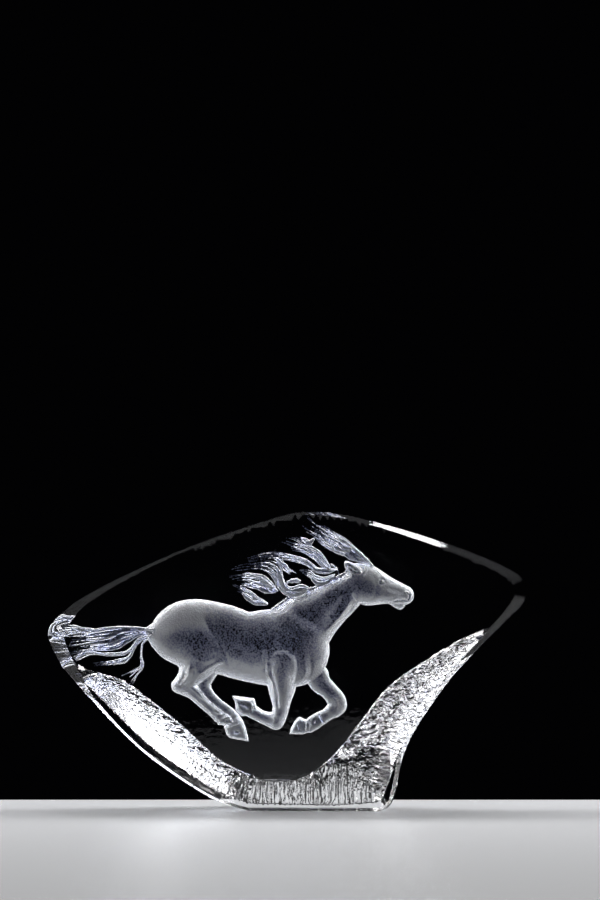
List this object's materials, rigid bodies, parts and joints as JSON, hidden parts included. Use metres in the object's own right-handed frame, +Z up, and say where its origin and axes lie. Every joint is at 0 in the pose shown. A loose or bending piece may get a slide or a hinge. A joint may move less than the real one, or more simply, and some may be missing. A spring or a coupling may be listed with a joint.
{
  "type": "crystal horse sculpture",
  "caption": "Standing block of clear crystal with a frosted galloping horse carved into its back and a rough hewn shoulder along its lower sides.",
  "frame": {"origin": "middle of the bounding box's underside, on the surface that the block stands on", "axes": "+Z up, +X towards the horse's head and to the right as seen from the polished front, +Y out of the carved back; the polished front looks along -Y"},
  "size_m": [0.2, 0.038, 0.1245],
  "materials": {
    "clear_crystal": "polished lead crystal, clear; the carved horse is finely sandblasted and the lower shoulder rough hewn"
  },
  "bodies": {
    "root": {"crystal_block": "clear_crystal"}
  },
  "joints": []
}
